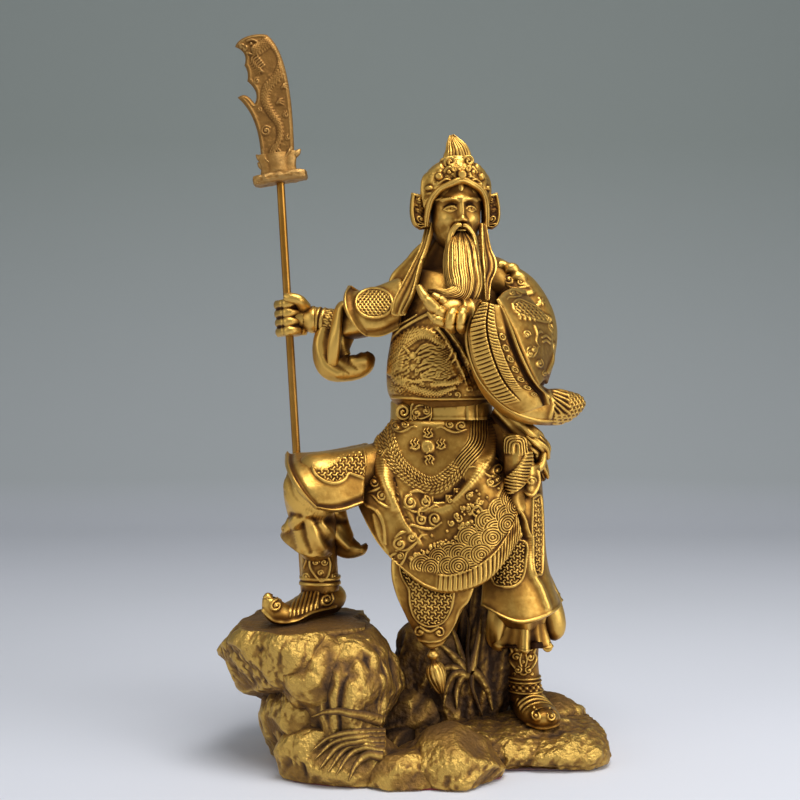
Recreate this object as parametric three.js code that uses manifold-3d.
// A cast brass statue of a bearded general with a long glaive, one boot up on a rock.
// Millimetres, +Z up, the general faces -Y. The origin is the middle of the felt's underside.
// The pieces: the general, the rock he stands on, the glaive's shaft and blade, and the felt under the rock.
import * as THREE from 'three';
import { mergeVertices } from 'three/addons/utils/BufferGeometryUtils.js';
import Module from 'manifold-3d';

const wasm = await Module();
wasm.setup();

// Driving sizes
const FIGURE_HEIGHT = 352; // from the standing sole to the tip of the plume
const SLAB_TOP = 17; // the rock under the standing boot, above the felt
const FELT_THICKNESS = 1.2;
const FELT_SHARE = 0.985; // the felt's outline, as a share of the rock's foot
const BASE_LENGTH = 225; // the rock, left to right
const BASE_DEPTH = 146; // the rock, front to back
const SHAFT_DIAMETER = 5;
const SHAFT_LENGTH = 269;
const SHAFT_SOCKET = 4; // how deep the shaft's foot stands in the rock
const SHAFT_LEAN = 3.4; // degrees, its top to the left
const BLADE_LENGTH = 89; // above the guard
const BLADE_THICKNESS = 4.4;
const GUARD_LENGTH = 33;
const GUARD_DEPTH = 15;
const GUARD_THICKNESS = 5;
const GUARD_TILT = 5; // degrees, its left end down
const CLEARANCE = 0.3; // between pieces that touch

// The figure is carved on a grid of this unit, about a millimetre, with z from the standing sole.
const GRID_HEIGHT = 352;
const UNIT = FIGURE_HEIGHT / GRID_HEIGHT;
const SOLE_Z = FELT_THICKNESS + SLAB_TOP;
const LEDGE_GRID = 65; // the raised sole, on the grid
const LEDGE_Z = SOLE_Z + LEDGE_GRID * UNIT;

// The flat seat of the standing boot, two corners on the grid, and where the raised boot's side begins
const STANDING_SEAT = [[52, -30], [96, 34]];
const RAISED_SIDE = -40;

// Where the shaft stands, and the turns of its lean and of its guard
const SHAFT_FOOT = [-66.4 * UNIT, 15 * UNIT];
const LEAN = THREE.MathUtils.degToRad(SHAFT_LEAN);
const TILT = THREE.MathUtils.degToRad(GUARD_TILT);

// The head's place on the grid, turned to its left and tipped a little to its right
const HEAD_PLACE = [25, -2, 306];
const HEAD_TURN = new THREE.Euler(0, THREE.MathUtils.degToRad(-2), THREE.MathUtils.degToRad(12), 'ZYX');

const FRONT = [0, -1, 0];
const UP = [0, 0, 1];

const brass = new THREE.MeshStandardMaterial({ color: 0xb8862d, roughness: 0.38, metalness: 1 });
const rockBrass = new THREE.MeshStandardMaterial({ color: 0xa97a2a, roughness: 0.45, metalness: 1 });
const rodBrass = new THREE.MeshStandardMaterial({ color: 0xb57a24, roughness: 0.3, metalness: 1 });
const bladeBrass = new THREE.MeshStandardMaterial({ color: 0xa97b35, roughness: 0.5, metalness: 1 });
const redFelt = new THREE.MeshStandardMaterial({ color: 0x7a1c1c, roughness: 1, metalness: 0 });

const vector = ([x, y, z = 0]) => new THREE.Vector3(x, y, z);
const curve = (points) => new THREE.CatmullRomCurve3(points.map(vector), false, 'catmullrom', 0.5);

/** A three.js geometry as a solid, with its shared corners merged. */
function solid(geometry) {
  const bare = geometry.clone();
  bare.deleteAttribute('normal');
  bare.deleteAttribute('uv');
  const merged = mergeVertices(bare, 1e-4);
  return new wasm.Manifold(new wasm.Mesh({
    numProp: 3,
    vertProperties: merged.attributes.position.array,
    triVerts: new Uint32Array(merged.index.array),
  }));
}

/** A solid as a three.js geometry. */
function geometryOf(body) {
  const mesh = body.getMesh();
  const geometry = new THREE.BufferGeometry();
  geometry.setAttribute('position', new THREE.BufferAttribute(mesh.vertProperties, 3));
  geometry.setIndex(new THREE.BufferAttribute(mesh.triVerts, 1));
  geometry.computeVertexNormals();
  return geometry;
}

const join = (geometries) => geometries.map(solid).reduce((whole, next) => whole.add(next));

/**
 * A bar bent along a smooth spine. A station is [x, y, z, half width, half depth], and depth runs
 * along `front`. Flutes are folds round it, deeper towards the end.
 */
function limb(stations, { sides = 8, front = FRONT, flutes = 0, fluteDepth = 0, phase = 0 } = {}) {
  const spine = curve(stations);
  const radii = curve(stations.map(([, , , wide, deep]) => [wide, deep]));
  const bar = new THREE.CylinderGeometry(1, 1, 1, sides, stations.length - 1, false);
  const place = bar.attributes.position;
  const facing = vector(front);
  for (let i = 0; i < place.count; i++) {
    const t = THREE.MathUtils.clamp(place.getY(i) + 0.5, 0, 1);
    const along = spine.getTangent(t);
    const depth = facing.clone().addScaledVector(along, -facing.dot(along)).normalize();
    const width = along.clone().cross(depth);
    const radius = radii.getPoint(t);
    const angle = Math.atan2(place.getZ(i), place.getX(i));
    const fold = 1 + fluteDepth * t * Math.cos(flutes * angle + phase);
    const point = spine.getPoint(t)
      .addScaledVector(width, place.getX(i) * Math.max(radius.x, 0.3) * fold)
      .addScaledVector(depth, place.getZ(i) * Math.max(radius.y, 0.3) * fold);
    place.setXYZ(i, point.x, point.y, point.z);
  }
  return bar;
}

/**
 * A sheet of cast cloth or armour through rows of points, each row from left to right and the rows
 * from top to bottom as seen from outside. Folds ripple it, deeper towards the bottom.
 */
function sheet(rows, thickness, { across = 6, down = 5, folds = 0, foldDepth = 0, phase = 0 } = {}) {
  const rowCurves = rows.map(curve);
  const surface = (u, v) => curve(rowCurves.map((row) => row.getPoint(u).toArray())).getPoint(v);
  const slab = new THREE.BoxGeometry(1, 1, 1, across, down, 1);
  const place = slab.attributes.position;
  const step = 0.01;
  for (let i = 0; i < place.count; i++) {
    const u = place.getX(i) + 0.5;
    const v = 0.5 - place.getY(i);
    const point = surface(u, v);
    const alongU = surface(Math.min(u + step, 1), v).sub(surface(Math.max(u - step, 0), v));
    const alongV = surface(u, Math.min(v + step, 1)).sub(surface(u, Math.max(v - step, 0)));
    const normal = alongV.cross(alongU).normalize();
    const ripple = foldDepth * v * Math.cos(2 * Math.PI * folds * u + phase);
    point.addScaledVector(normal, place.getZ(i) * thickness + ripple);
    place.setXYZ(i, point.x, point.y, point.z);
  }
  return slab;
}

/** A round lump, such as a skull, a pompom or a bead. */
function lump([x, y, z], [wide, deep, high], sides = 8) {
  const ball = new THREE.SphereGeometry(1, sides, Math.round(sides * 0.7));
  ball.rotateX(Math.PI / 2);
  ball.scale(wide, deep, high);
  ball.translate(x, y, z);
  return ball;
}

/** A box that only cuts, from corner to corner. */
function block(low, high) {
  const box = new THREE.BoxGeometry(...high.map((value, i) => value - low[i]));
  box.translate(...high.map((value, i) => (value + low[i]) / 2));
  return solid(box);
}

/** Puts what was made about the head's own middle in its place, turned as the head is. */
function onHead(geometries) {
  const move = new THREE.Matrix4().makeRotationFromEuler(HEAD_TURN).setPosition(...HEAD_PLACE);
  return geometries.map((geometry) => geometry.applyMatrix4(move));
}

// The general's body

function torso() {
  const tunic = limb([
    [16, 3, 191, 28, 24], [15.5, 0, 199, 31.5, 28], [15, -1, 212, 32, 29], [16.5, 0, 230, 30.5, 27],
    [20, 2, 250, 30, 23], [25, 5, 265, 27, 18], [26, 5, 277, 14, 13], [25, 3, 290, 9.5, 10],
  ], { sides: 12 });
  const belt = limb([[16, 4, 180.5, 28.8, 23.6], [16, 4, 193, 28.8, 23.6]], { sides: 14 });
  const yoke = limb([
    [-8, 7, 253, 11, 12], [6, 7, 262, 14, 14], [26, 6, 267, 16, 15], [46, 7, 266, 15, 15],
    [58, 8, 260, 12, 13],
  ], { front: UP });
  const buckle = lump([-1, -15.5, 187], [10, 4, 6.2], 7);
  return [tunic, belt, yoke, buckle];
}

/** The head about its own middle: z = 0 is the line of the eyes. */
function head() {
  const skull = limb([
    [0, -6.5, -21, 7, 7], [0, -4, -15, 11.5, 12.5], [0, -1.5, -7, 14, 16], [0, 0, 3, 15.5, 18],
    [0, 1, 14, 15.5, 18],
  ], { sides: 10 });
  const brow = limb([
    [-12, -12, 3.6, 1, 1.6], [-6, -16.4, 4.6, 1.6, 2], [0, -17.2, 3.4, 1.8, 2], [6, -16.4, 4.6, 1.6, 2],
    [12, -12, 3.6, 1, 1.6],
  ], { front: UP, sides: 5 });
  const nose = limb([
    [0, -16.6, 3.5, 1.8, 1.6], [0, -18.6, -2, 2, 2.2], [0, -20, -6.4, 3.6, 2.8], [0, -18.4, -8, 3, 1.8],
  ], { sides: 5 });
  const eyes = [-1, 1].map((way) => lump([way * 6.3, -14, 0], [3.2, 1.9, 1.7], 6));
  const nape = limb([[0, 13, 14, 13, 6], [0, 14, -6, 14, 6], [1, 13, -22, 17, 6]], { sides: 6 });
  return onHead([skull, brow, nose, nape, ...eyes]);
}

/** The helmet about the head's middle: dome, arched band, crest, pompoms, wings and a plume of hair. */
function helmet() {
  const dome = lump([0, 3, 11], [19.4, 20, 21.5], 10);
  const band = limb([
    [-17.5, -6, 5, 2, 2.2], [-13.5, -13, 11.5, 2, 2.4], [0, -19, 16.5, 2.2, 2.6],
    [13.5, -13, 11.5, 2, 2.4], [17.5, -6, 5, 2, 2.2],
  ], { sides: 5 });
  const crest = limb([
    [0, -13.5, 14, 14.5, 4], [0, -13, 20, 14, 4.2], [0, -11.5, 27, 10.5, 4], [0, -10, 32, 4, 3],
  ], { sides: 7 });
  const plume = limb([
    [0.5, -6, 27, 7.2, 6], [0.5, -6, 35, 7.2, 6], [0, -6, 39, 5.6, 4.6], [-1.5, -6, 43, 2.8, 2.6],
    [-2.2, -6, 46, 0.6, 0.6],
  ], { sides: 7 });
  const pompoms = [-4.8, 4.8].map((x) => lump([x, -15, 27.5], [4.2, 3.6, 4.2], 6));
  const wings = [-1, 1].map((way) => {
    const rows = [
      [[15, -1, 13], [24.5, -3, 13.5]],
      [[15, -1, 2], [27, -3, 2]],
      [[14, -1, -8], [22.5, -3, -8.5]],
    ].map((row) => row.map(([x, y, z]) => [x * way, y, z]));
    return sheet(way < 0 ? rows.map((row) => row.reverse()) : rows, 4, { across: 1, down: 4 });
  });
  return onHead([dome, band, crest, plume, ...pompoms, ...wings]);
}

function lappets() {
  const strip = (spine) => limb(spine, { sides: 5 });
  return [
    strip([[8, 0, 300, 3.5, 4.5], [4, -3, 288, 4.5, 4], [-2, -9, 270, 5.5, 3.5], [-9, -14, 250, 5.5, 3]]),
    strip([[12, -6, 296, 3, 4], [9.5, -10, 282, 4, 3.5], [7, -15, 268, 4.5, 3], [2, -20, 250, 4, 3]]),
    strip([[40.5, 0, 300, 4, 5], [45.5, -3, 286, 5, 4.5], [47, -11, 270, 4.5, 3.5], [43, -20, 252, 3, 3]]),
  ];
}

function beard() {
  const main = limb([
    [26.5, -19, 294, 8, 5], [27, -25, 284, 10, 6], [28.5, -32, 270, 11, 7], [27, -38, 258, 11.5, 7],
    [20, -41, 250.5, 8, 5.5], [12, -42, 249, 5, 4], [7, -42, 251, 1.2, 1.2],
  ], { sides: 8 });
  const moustache = [1, -1].map((way) => limb([
    [27.5 + way, -21, 297.5, 1.6, 1.8], [27.5 + way * 7.5, -20.5, 295, 2, 2],
    [27.5 + way * 10, -23, 286, 1.6, 2],
    [27.5 + way * 10.5, -29, 272, 1, 1.4],
  ], { sides: 5 }));
  return [main, ...moustache];
}

function rightArm() {
  const upper = limb([
    [2, 7, 258, 12, 13], [-14, 8, 250, 12, 12.5], [-30, 9, 243, 10.5, 11], [-44, 11, 239, 9, 9.5],
  ], { front: UP });
  const bracer = limb([
    [-40, 11, 240, 8, 8], [-58, 14, 242.7, 7.4, 7.4], [-62, 14.4, 243, 8.4, 8.4], [-67, 15, 243.5, 7, 7],
  ], { front: UP });
  const rolledCuff = limb([
    [-38, 2, 254, 3, 3], [-46, 2, 248, 3.4, 4], [-44, 3, 236, 3.4, 4], [-50, 5, 222, 4, 5],
    [-52, 9, 214, 4, 4],
  ], { sides: 6 });
  const hangingSleeve = limb([
    [-47, 13, 238, 12, 6], [-51, 13, 226, 11.5, 7], [-49, 12, 216, 11, 6.5], [-41, 12, 213, 7, 6.5],
    [-32, 11, 216, 6, 6], [-28, 10.5, 221, 3.5, 4],
  ]);
  const pauldron = sheet([
    [[-40, 6, 262], [-31, 15, 260], [-12, 20, 265]],
    [[-40, -5, 255.5], [-26, -6, 257], [-7, -8, 265]],
    [[-37, -9, 244], [-24, -13, 246], [-7, -16, 252]],
    [[-32, -7, 236], [-20, -11, 234], [-8, -14, 240]],
  ], 3, { across: 3, down: 4 });
  return [upper, bracer, rolledCuff, hangingSleeve, pauldron, ...rightFist()];
}

/** The fist round the shaft: a stack of four fingers, and the thumb over it. */
function rightFist() {
  const [footX, footY] = SHAFT_FOOT.map((value) => value / UNIT);
  const [lowest, finger] = [233.2, 5.5];
  const stack = [];
  for (let crease = 0; crease <= 8; crease++) {
    const z = lowest + crease * finger / 2;
    const full = crease % 2 ? 1 : 0.86;
    stack.push([footX + 1 - (z - LEDGE_GRID) * Math.tan(LEAN), footY + 1.5, z, 9.5 * full, 9.8 * full]);
  }
  const wrist = limb([
    [-62, 15, 243.2, 6.5, 7], [-70, 17, 244, 8.5, 7.5], [-74, 18, 244, 8.5, 8],
  ], { front: UP, sides: 6 });
  const thumb = limb([
    [-67, 12, 250, 4, 4], [-70, 7, 254, 3.6, 3.4], [-79, 7, 256, 2.4, 2.6],
  ], { front: UP, sides: 5 });
  return [limb(stack), wrist, thumb];
}

function leftArm() {
  const upper = limb([
    [52, 8, 266, 13, 14], [61, 8, 255, 16.5, 17], [67.5, 5, 238, 18, 18], [66.5, 0, 220, 17, 17],
    [63, -4, 206, 14, 15], [60, -6, 198, 7, 8],
  ], { sides: 10 });
  const forearm = limb([
    [66, -5, 226, 13, 13], [50, -26, 229, 11, 11], [27, -45, 242, 5.5, 6.5],
  ], { front: UP, sides: 6 });
  const sleeve = limb([
    [36, -44, 247, 4, 6], [37, -45, 235, 9, 8], [42, -43, 221, 13, 11], [50, -37, 206, 15, 12],
    [61, -29, 195, 14, 10.5],
    [74, -18, 190, 11, 10], [86, -8, 190, 10.5, 10], [96, -1, 192, 6, 8], [99, 1, 194, 1.5, 2],
  ]);
  const cuffLip = sheet([
    [
      [36, -52, 250], [28.5, -53, 236], [28, -52, 222], [36, -47, 203], [52, -39, 188], [72, -28, 181],
      [90, -12, 182],
    ],
    [
      [34, -44, 250], [31, -46, 236], [32, -45, 222], [40, -40, 207], [54, -32, 193], [72, -20, 187],
      [88, -6, 187],
    ],
  ].map((row) => row.reverse()), 2.6, { across: 6, down: 1 });
  const shoulderRoll = limb([
    [50, -2, 274, 3, 3.4], [57, -3, 272, 4, 4], [64, -3, 263, 4.2, 4], [69, -2, 254, 2, 2],
  ], { sides: 5 });
  return [upper, forearm, sleeve, cuffLip, shoulderRoll, ...leftHand()];
}

/** The hand that strokes the beard, its first two fingers raised. */
function leftHand() {
  const palm = limb([[27, -45, 242, 6, 5], [21, -48, 243, 8.5, 4.5], [15, -49, 241, 7, 4]]);
  const fingers = [
    [[17, -50, 240, 2.8, 3], [7.5, -52, 246, 2.7, 2.8], [1.5, -49, 256, 1.6, 1.8]],
    [[20, -51, 238, 2.8, 3], [11, -56, 241, 2.7, 2.8], [5, -52, 251, 1.6, 1.8]],
    [[23, -50, 244, 2.8, 3], [20, -56, 237, 2.7, 2.8], [20, -51, 229, 1.6, 1.8]],
    [[27, -49, 244, 2.8, 3], [25.8, -55, 237, 2.7, 2.8], [25.5, -50, 229, 1.6, 1.8]],
    [[20, -45, 247, 3.2, 3.2], [8, -45, 254, 1.6, 1.8]],
  ].map((path) => limb(path, { sides: 5 }));
  return [palm, ...fingers];
}

// The robe below the belt

function robe() {
  const hips = limb([
    [15.5, 4, 186, 28, 22.5], [15, 4, 172, 32, 26], [14, 5, 156, 35, 28], [18, 5, 138, 34, 28],
    [24, 4, 116, 29, 27], [30, 5, 96, 24, 24],
  ], { sides: 10 });
  const apron = sheet([
    [[-13, 0, 182], [-1, -18, 182], [15, -22, 182], [32, -18, 182], [45, -2, 182]],
    [[-27, -6, 163], [-14, -25, 158], [12, -28, 149], [36, -28, 157], [50, -10, 160]],
    [[-33, -15, 148], [-17, -34, 132], [11, -33, 113], [40, -36, 122], [57, -20, 134]],
    [[-35, -16, 137], [-16, -33, 106], [10, -37, 85], [39, -39, 90], [62, -26, 115]],
  ], 4.5, { across: 10, down: 4, folds: 3, foldDepth: 1.6, phase: Math.PI });
  const tongue = sheet([
    [[-12, -16, 120], [9, -22, 112], [36, -20, 112]],
    [[-14, -25, 92], [9, -33, 84], [34, -30, 87]],
    [[-6, -27, 70], [9, -32, 64], [27, -28, 73]],
    [[3, -27, 54], [9, -29, 50.5], [16, -27, 53]],
  ], 3, { across: 4, down: 4 });
  const tassel = limb([
    [9.5, -27, 53, 1.2, 1.2], [10, -27, 46.5, 3.4, 3.4], [10.5, -27, 43, 2, 2], [12, -27, 38, 4.8, 4.4],
    [13, -27, 32, 3.6, 3.4], [14.5, -27, 26.5, 0.8, 0.8],
  ], { sides: 6 });
  const bundle = limb([
    [50, 0, 184, 11, 14], [62, 4, 174, 14, 16], [69, 8, 158, 11, 14], [74, 12, 140, 6, 9],
    [76, 13, 132, 2, 3],
  ]);
  return [hips, apron, tongue, tassel, bundle, coat(), ...folds()];
}

/** The two tubular folds that hang from the belt, and the swag between them. */
function folds() {
  return [
    [[-10, -12, 178, 2, 2], [-22, -19, 160, 3.6, 4], [-28, -25, 144, 4, 4], [-26, -28, 130, 2, 2]],
    [[38, -12, 180, 2, 2], [46, -21, 160, 4.5, 4.5], [52, -27, 136, 5, 4.5], [54, -30, 119, 2.5, 2.5]],
    [
      [-15, -31, 143, 2, 2], [-5, -33, 124, 3.4, 3.4], [10, -34, 115, 3.6, 3.6], [27, -34, 124, 3.4, 3.4],
      [36, -33, 144, 2, 2],
    ],
  ].map((spine) => limb(spine, { sides: 5 }));
}

function coat() {
  return sheet([
    [[-13, 12, 188], [0, 28, 188], [17, 32, 188], [34, 27, 188], [45, 10, 188]].reverse(),
    [[-10, 22, 124], [8, 42, 122], [34, 48, 120], [62, 42, 120], [82, 22, 122]].reverse(),
    [[2, 34, 46], [20, 54, 40], [46, 60, 38], [73, 56, 38], [90, 34, 44]].reverse(),
  ], 5, { across: 10, down: 3, folds: 3, foldDepth: 3 });
}

function legs() {
  const rightThigh = limb([
    [2, 2, 158, 22, 19], [-20, -5, 152, 18, 17], [-42, -14, 149, 16.5, 15.5], [-60, -22, 147.5, 15.5, 15],
    [-68, -25, 146, 7, 8],
  ], { front: UP });
  const rightShin = limb([
    [-62, -22, 153, 12, 12], [-62.5, -20, 141, 14.5, 15], [-60.5, -14, 124, 13.5, 13],
    [-58, -5, 103, 10, 10],
  ], { sides: 7 });
  const rightCuff = limb([
    [-62, -18, 134, 11, 11], [-60, -12, 120, 14, 14], [-59, -7, 106, 17, 15],
  ], { sides: 12, flutes: 4, fluteDepth: 0.16, phase: 0.9 });
  const sweptCloth = limb([
    [-52, -8, 134, 10, 8], [-49, -3, 119, 10, 8], [-42, 0, 107, 8, 6], [-33, 2, 104, 4, 4],
    [-29, 3, 107, 1, 1.5],
  ], { sides: 7 });
  const thighPlate = sheet([
    [[-78, 0, 161], [-55, 2, 162], [-28, 6, 167]],
    [[-75, -28, 155], [-52, -26, 158.5], [-27, -16, 163]],
    [[-68, -42, 144], [-50, -37, 146], [-29, -28, 150]],
    [[-57, -42, 132], [-44, -37, 130], [-30, -30, 134]],
  ], 3, { across: 4, down: 5 });
  const leftLeg = limb([
    [34, 8, 160, 21, 21], [48, 4, 128, 20, 20], [57, 1, 98, 18, 18], [63, 3, 74, 17, 17],
    [66, 6, 58, 12, 12],
  ]);
  const leftCuff = limb([
    [65, 5, 72, 11, 11], [66, 6, 60, 13.5, 13], [66.5, 7, 45, 15.5, 14],
  ], { sides: 12, flutes: 4, fluteDepth: 0.14 });
  return [rightThigh, rightShin, rightCuff, sweptCloth, thighPlate, leftLeg, leftCuff, skirtPlate()];
}

/** The long armour plate over the standing leg, from its front round to its side. */
function skirtPlate() {
  return sheet([
    [[40, -8, 180], [54, -8, 180], [68, -3, 177], [77, 16, 172]],
    [[42, -16, 136], [58, -20, 134], [74, -9, 136], [82, 16, 134]],
    [[40, -19, 98], [56, -25, 94], [77, -14, 98], [86, 14, 98]],
    [[38, -22, 74], [60, -31, 65], [82, -18, 71], [91, 14, 76]],
  ], 3, { across: 6, down: 4 });
}

function boots() {
  const rightShaft = limb([[-58, -4, 112, 11, 10], [-57.5, -2, 98, 11, 10], [-57, 0, 80, 11.4, 10.6]]);
  const rightAnkle = limb([[-57, 0, 88.5, 12.4, 11.8], [-57, 0, 83.5, 12.6, 12]]);
  const rightFoot = limb([
    [-46, 13, 70, 4, 4], [-49, 9, 73, 8, 9], [-57, 0, 74, 9.5, 10], [-66, -12, 71, 9.5, 7.5],
    [-75, -24, 69.5, 9, 6.5],
    [-81, -31, 73, 7, 6.5], [-84, -34, 80, 3.6, 4], [-83, -33, 83, 1, 1.5],
  ], { front: UP });
  const leftShaft = limb([[66, 8, 52, 9.5, 9.5], [67, 9, 34, 9, 9], [68, 10, 14, 9.6, 9.8]]);
  const leftAnkle = limb([[68, 10, 23, 11, 11.2], [68, 10, 18, 11.4, 11.6]]);
  const leftFoot = limb([
    [66, 24, 6, 5, 4.5], [67, 18, 8, 9, 9], [69, 9, 9, 10, 10], [72, -2, 7, 11.5, 8.5],
    [75, -11, 6, 11, 7], [76, -17, 8, 8, 6], [76.5, -19, 12, 3.5, 3],
  ], { front: UP });
  return [rightShaft, rightAnkle, rightFoot, leftShaft, leftAnkle, leftFoot];
}

/** The general as one casting, in the statue's own place. */
function general() {
  const cast = join([
    ...torso(), ...head(), ...helmet(), ...lappets(), ...beard(), ...rightArm(), ...leftArm(),
    ...robe(), ...legs(), ...boots(),
  ].map((geometry) => geometry.scale(UNIT, UNIT, UNIT).translate(0, 0, SOLE_Z)));
  const far = FIGURE_HEIGHT;
  const between = RAISED_SIDE * UNIT;
  const underRaisedBoot = block([-far, -far, -far], [between, far, LEDGE_Z]);
  const underStandingBoot = block([between - CLEARANCE, -far, -far], [far, far, SOLE_Z]);
  return cast.subtract(underRaisedBoot).subtract(underStandingBoot).subtract(shaftSpace());
}

// The glaive, made upright on its own foot and then leaned

function leanOver(geometry) {
  geometry.rotateY(-LEAN);
  geometry.translate(...SHAFT_FOOT, LEDGE_Z - SHAFT_SOCKET);
  return geometry;
}

/** The shaft, or the space it takes when it is given more room. */
function shaft(room = 0) {
  const radius = SHAFT_DIAMETER / 2 + room;
  const rod = new THREE.CylinderGeometry(radius, radius, SHAFT_LENGTH + 2 * room, 16);
  rod.rotateX(Math.PI / 2);
  rod.translate(0, 0, SHAFT_LENGTH / 2);
  return rod;
}

const shaftSpace = () => solid(leanOver(shaft(CLEARANCE)));

/** The blade's outline, in shares of its length: its back on the right, the hooked edge on the left. */
function bladeOutline() {
  const outline = new THREE.Shape();
  const at = (x, z) => [x * BLADE_LENGTH, z * BLADE_LENGTH];
  outline.moveTo(...at(-0.13, 0));
  outline.bezierCurveTo(...at(-0.12, 0.15), ...at(-0.1, 0.42), ...at(-0.26, 0.57));
  outline.quadraticCurveTo(...at(-0.2, 0.62), ...at(-0.145, 0.523));
  outline.quadraticCurveTo(...at(-0.1, 0.6), ...at(-0.187, 0.68));
  outline.quadraticCurveTo(...at(-0.17, 0.74), ...at(-0.2, 0.79));
  outline.quadraticCurveTo(...at(-0.165, 0.88), ...at(-0.256, 0.92));
  outline.bezierCurveTo(...at(-0.24, 0.99), ...at(-0.1, 1.015), ...at(-0.03, 0.99));
  outline.bezierCurveTo(...at(0.11, 0.86), ...at(0.125, 0.5), ...at(0.1, 0));
  outline.closePath();
  return outline;
}

/** The blade with its guard and collar, one casting that sits on the top of the shaft. */
function glaiveBlade() {
  const edge = BLADE_THICKNESS * 0.3;
  const plate = new THREE.ExtrudeGeometry(bladeOutline(), {
    depth: BLADE_THICKNESS - 2 * edge,
    bevelThickness: edge,
    bevelSize: edge,
    bevelOffset: -edge,
    bevelSegments: 1,
    curveSegments: 4,
  });
  plate.rotateX(Math.PI / 2);
  plate.translate(0, BLADE_THICKNESS / 2 - edge, 0);
  const guard = limb([-0.5, -0.4, 0, 0.4, 0.5].map((share) => {
    const end = Math.abs(share) > 0.45;
    return [share * GUARD_LENGTH, 0, 0, end ? 2 : GUARD_DEPTH / 2, (end ? 0.7 : 1) * GUARD_THICKNESS / 2];
  }), { front: UP });
  guard.rotateY(-TILT);
  const collar = limb([[0, 0, 0, 13, 6.5], [-0.5, 0, 5, 11, 5], [0, 0, 13, 11.4, 3]], { sides: 6 });
  const whole = join([plate, guard, collar].map((geometry) => geometry.translate(0, 0, SHAFT_LENGTH)));
  return leanOver(geometryOf(whole.subtract(solid(shaft(CLEARANCE)))));
}

// The rock

/** A repeatable number from 0 to 1 for a whole number. */
const chance = (n) => {
  const value = Math.sin(n * 127.1 + 11.7) * 43758.5453;
  return value - Math.floor(value);
};

/** A boulder: a ball cut back by flat faces that point every way. */
function boulder([x, y, z], [wide, deep, high], seed, detail) {
  const ball = new THREE.IcosahedronGeometry(1, detail);
  const place = ball.attributes.position;
  const faces = Array.from({ length: 14 }, (_, i) => {
    const azimuth = 2 * Math.PI * chance(seed + i * 3);
    const height = 2 * chance(seed + i * 3 + 1) - 1;
    const flat = Math.sqrt(1 - height * height);
    const way = new THREE.Vector3(flat * Math.cos(azimuth), flat * Math.sin(azimuth), height);
    return { way, far: 0.84 + 0.14 * chance(seed + i * 3 + 2) };
  });
  for (let i = 0; i < place.count; i++) {
    const way = new THREE.Vector3().fromBufferAttribute(place, i).normalize();
    const reach = Math.min(1, ...faces.map((face) => face.far / Math.max(way.dot(face.way), 0.05)));
    place.setXYZ(i, x + way.x * reach * wide, y + way.y * reach * deep, z + way.z * reach * high);
  }
  return ball;
}

// The boulders: centre and half size, along and deep as shares of the base, high as shares of the ledge
const BOULDERS = {
  ledge: { at: [-0.31, -0.02, 0.78], size: [0.21, 0.38, 0.38], seed: 3, detail: 2 },
  underLedge: { at: [-0.25, -0.02, 0.3], size: [0.165, 0.36, 0.5], seed: 40, detail: 1 },
  cliff: { at: [-0.18, -0.12, 0.5], size: [0.14, 0.32, 0.52], seed: 77, detail: 2 },
  frontFoot: { at: [-0.19, -0.29, 0.12], size: [0.16, 0.18, 0.3], seed: 110, detail: 1 },
  front: { at: [0.03, -0.32, 0.1], size: [0.17, 0.18, 0.33], seed: 150, detail: 1 },
  frontRight: { at: [0.12, -0.25, 0.14], size: [0.13, 0.2, 0.3], seed: 180, detail: 1 },
  stump: { at: [0.045, 0.11, 0.45], size: [0.13, 0.14, 0.52], seed: 230, detail: 1 },
  back: { at: [-0.1, 0.2, 0.2], size: [0.26, 0.28, 0.38], seed: 260, detail: 1 },
  rightBack: { at: [0.385, 0.24, 0.12], size: [0.1, 0.2, 0.22], seed: 300, detail: 1 },
};

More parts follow.
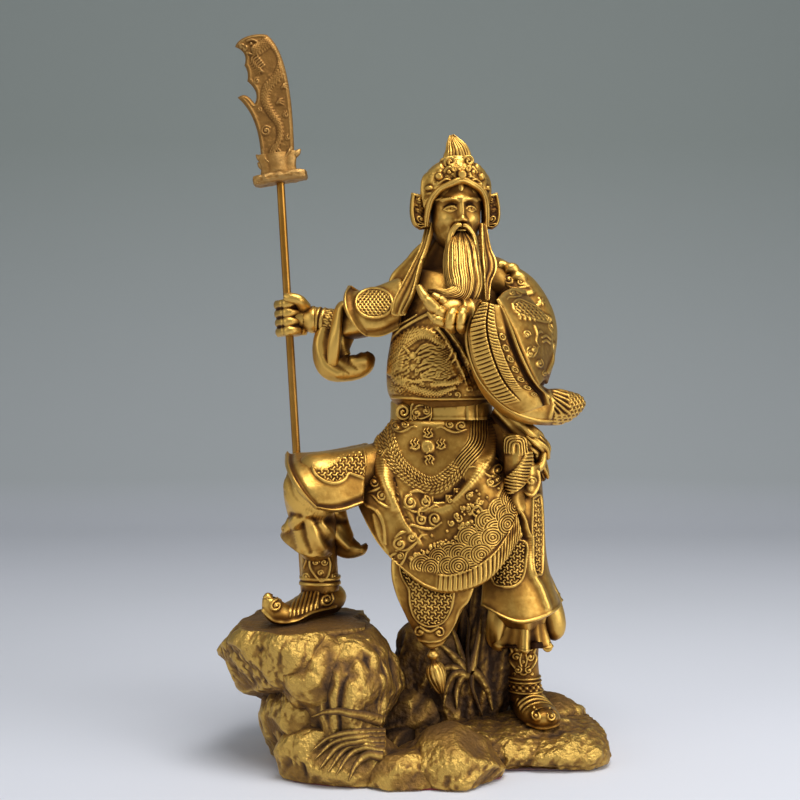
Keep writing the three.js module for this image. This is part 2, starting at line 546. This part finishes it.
/** The whole rock, flat where the felt and the raised boot meet it and under the standing boot. */
function rock() {
  const high = LEDGE_Z - FELT_THICKNESS;
  const boulders = Object.values(BOULDERS).map(({ at, size, seed, detail }) => boulder(
    [at[0] * BASE_LENGTH, at[1] * BASE_DEPTH, FELT_THICKNESS + at[2] * high],
    [size[0] * BASE_LENGTH, size[1] * BASE_DEPTH, size[2] * high], seed, detail,
  ));
  const middle = FELT_THICKNESS + SLAB_TOP * 0.35;
  const slab = limb([
    [0, 0.06 * BASE_DEPTH, middle, 0.3 * BASE_DEPTH, SLAB_TOP * 0.7],
    [0.2 * BASE_LENGTH, 0.06 * BASE_DEPTH, middle, 0.33 * BASE_DEPTH, SLAB_TOP * 0.85],
    [0.4 * BASE_LENGTH, 0.09 * BASE_DEPTH, middle, 0.36 * BASE_DEPTH, SLAB_TOP * 0.85],
    [0.48 * BASE_LENGTH, 0.11 * BASE_DEPTH, middle, 0.26 * BASE_DEPTH, SLAB_TOP * 0.7],
  ], { front: UP, sides: 10 });
  const far = BASE_LENGTH + BASE_DEPTH;
  const overLedge = block([-far, -far, LEDGE_Z - CLEARANCE], [far, far, far]);
  const [seatLow, seatHigh] = STANDING_SEAT.map((corner) => corner.map((value) => value * UNIT));
  const overSlab = block([...seatLow, SOLE_Z - CLEARANCE], [...seatHigh, far]);
  const underRock = block([-far, -far, -far], [far, far, FELT_THICKNESS]);
  return [underRock, overLedge, overSlab, shaftSpace()]
    .reduce((body, cutter) => body.subtract(cutter), join([...boulders, slab]));
}

/** The felt: the rock's own foot, a little smaller. */
function felt(rockBody) {
  const far = BASE_LENGTH;
  const foot = rockBody.intersect(block([-far, -far, FELT_THICKNESS], [far, far, 2 * FELT_THICKNESS]));
  return geometryOf(foot).scale(FELT_SHARE, FELT_SHARE, 1).translate(0, 0, -FELT_THICKNESS);
}

function piece(name, geometry, material) {
  const mesh = new THREE.Mesh(geometry, material);
  mesh.name = name;
  return mesh;
}

const rockBody = rock();
const statue = new THREE.Group();
statue.add(
  piece('figure', geometryOf(general()), brass),
  piece('rock_base', geometryOf(rockBody), rockBrass),
  piece('glaive_shaft', leanOver(shaft()), rodBrass),
  piece('glaive_blade', glaiveBlade(), bladeBrass),
  piece('base_felt', felt(rockBody), redFelt),
);

export default statue;
